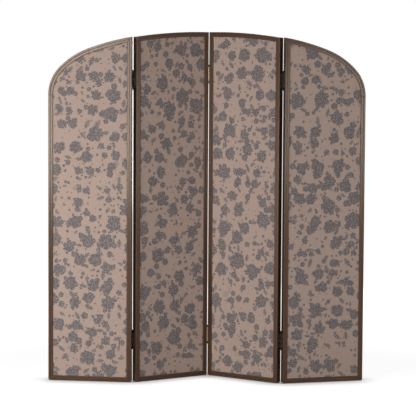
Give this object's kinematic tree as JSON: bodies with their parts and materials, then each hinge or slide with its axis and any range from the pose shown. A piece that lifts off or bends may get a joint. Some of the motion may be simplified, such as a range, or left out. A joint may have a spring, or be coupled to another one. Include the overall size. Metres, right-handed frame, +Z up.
{
  "type": "folding room divider",
  "caption": "Folding room divider: hinged upright panels under one low arch, with slim moulded wood frames, fabric-covered infills and finial-tipped hinges.",
  "frame": {"origin": "floor level, under the middle of the footprint of the set-up screen", "axes": "+Z up, +X to the right along the screen as seen from its front, +Y to its back"},
  "size_m": [1.6516, 0.283, 1.829],
  "materials": {
    "frame_wood": "dark walnut stain, satin lacquer",
    "fabric": "plain-weave linen with a tone-on-tone floral print",
    "core_board": "raw softboard",
    "dowel_wood": "raw beech",
    "hinge_brass": "antique brass, satin",
    "screws": "antique brass, satin"
  },
  "bodies": {
    "panel_1": {"panel_1_left_stile": "frame_wood", "panel_1_right_stile": "frame_wood", "panel_1_bottom_rail": "frame_wood", "panel_1_top_rail": "frame_wood", "panel_1_shoulder": "frame_wood", "panel_1_core_board": "core_board", "panel_1_front_fabric": "fabric", "panel_1_back_fabric": "fabric", "panel_1_dowels": "dowel_wood", "panel_1_hinge_screws": "screws", "left_upper_hinge_leaf_1": "hinge_brass", "left_lower_hinge_leaf_1": "hinge_brass"},
    "panel_2": {"panel_2_left_stile": "frame_wood", "panel_2_right_stile": "frame_wood", "panel_2_bottom_rail": "frame_wood", "panel_2_top_rail": "frame_wood", "panel_2_core_board": "core_board", "panel_2_front_fabric": "fabric", "panel_2_back_fabric": "fabric", "panel_2_dowels": "dowel_wood", "panel_2_hinge_screws": "screws", "left_upper_hinge_leaf_2": "hinge_brass", "left_lower_hinge_leaf_2": "hinge_brass", "left_upper_hinge_pin": "hinge_brass", "left_lower_hinge_pin": "hinge_brass", "left_hinge_pin_caps": "hinge_brass", "middle_upper_hinge_leaf_2": "hinge_brass", "middle_lower_hinge_leaf_2": "hinge_brass", "middle_upper_hinge_pin": "hinge_brass", "middle_lower_hinge_pin": "hinge_brass", "middle_hinge_pin_caps": "hinge_brass"},
    "panel_3": {"panel_3_left_stile": "frame_wood", "panel_3_right_stile": "frame_wood", "panel_3_bottom_rail": "frame_wood", "panel_3_top_rail": "frame_wood", "panel_3_core_board": "core_board", "panel_3_front_fabric": "fabric", "panel_3_back_fabric": "fabric", "panel_3_dowels": "dowel_wood", "panel_3_hinge_screws": "screws", "middle_upper_hinge_leaf_3": "hinge_brass", "middle_lower_hinge_leaf_3": "hinge_brass", "right_upper_hinge_leaf_3": "hinge_brass", "right_lower_hinge_leaf_3": "hinge_brass", "right_upper_hinge_pin": "hinge_brass", "right_lower_hinge_pin": "hinge_brass", "right_hinge_pin_caps": "hinge_brass"},
    "panel_4": {"panel_4_left_stile": "frame_wood", "panel_4_right_stile": "frame_wood", "panel_4_bottom_rail": "frame_wood", "panel_4_top_rail": "frame_wood", "panel_4_shoulder": "frame_wood", "panel_4_core_board": "core_board", "panel_4_front_fabric": "fabric", "panel_4_back_fabric": "fabric", "panel_4_dowels": "dowel_wood", "panel_4_hinge_screws": "screws", "right_upper_hinge_leaf_4": "hinge_brass", "right_lower_hinge_leaf_4": "hinge_brass"}
  },
  "joints": [
    {"name": "left_hinge", "type": "hinge", "parent": "panel_2", "child": "panel_1", "pos_m": [-0.38366, -0.09776, 0], "axis": [0, 0, 1], "range_deg": [-139.5, 40.5]},
    {"name": "middle_hinge", "type": "hinge", "parent": "panel_2", "child": "panel_3", "pos_m": [0.00664, 0.11278, 0], "axis": [0, 0, 1], "range_deg": [-112.5, 67.5]},
    {"name": "right_hinge", "type": "hinge", "parent": "panel_3", "child": "panel_4", "pos_m": [0.3913, -0.1079, 0], "axis": [0, 0, 1], "range_deg": [-50, 130]}
  ]
}
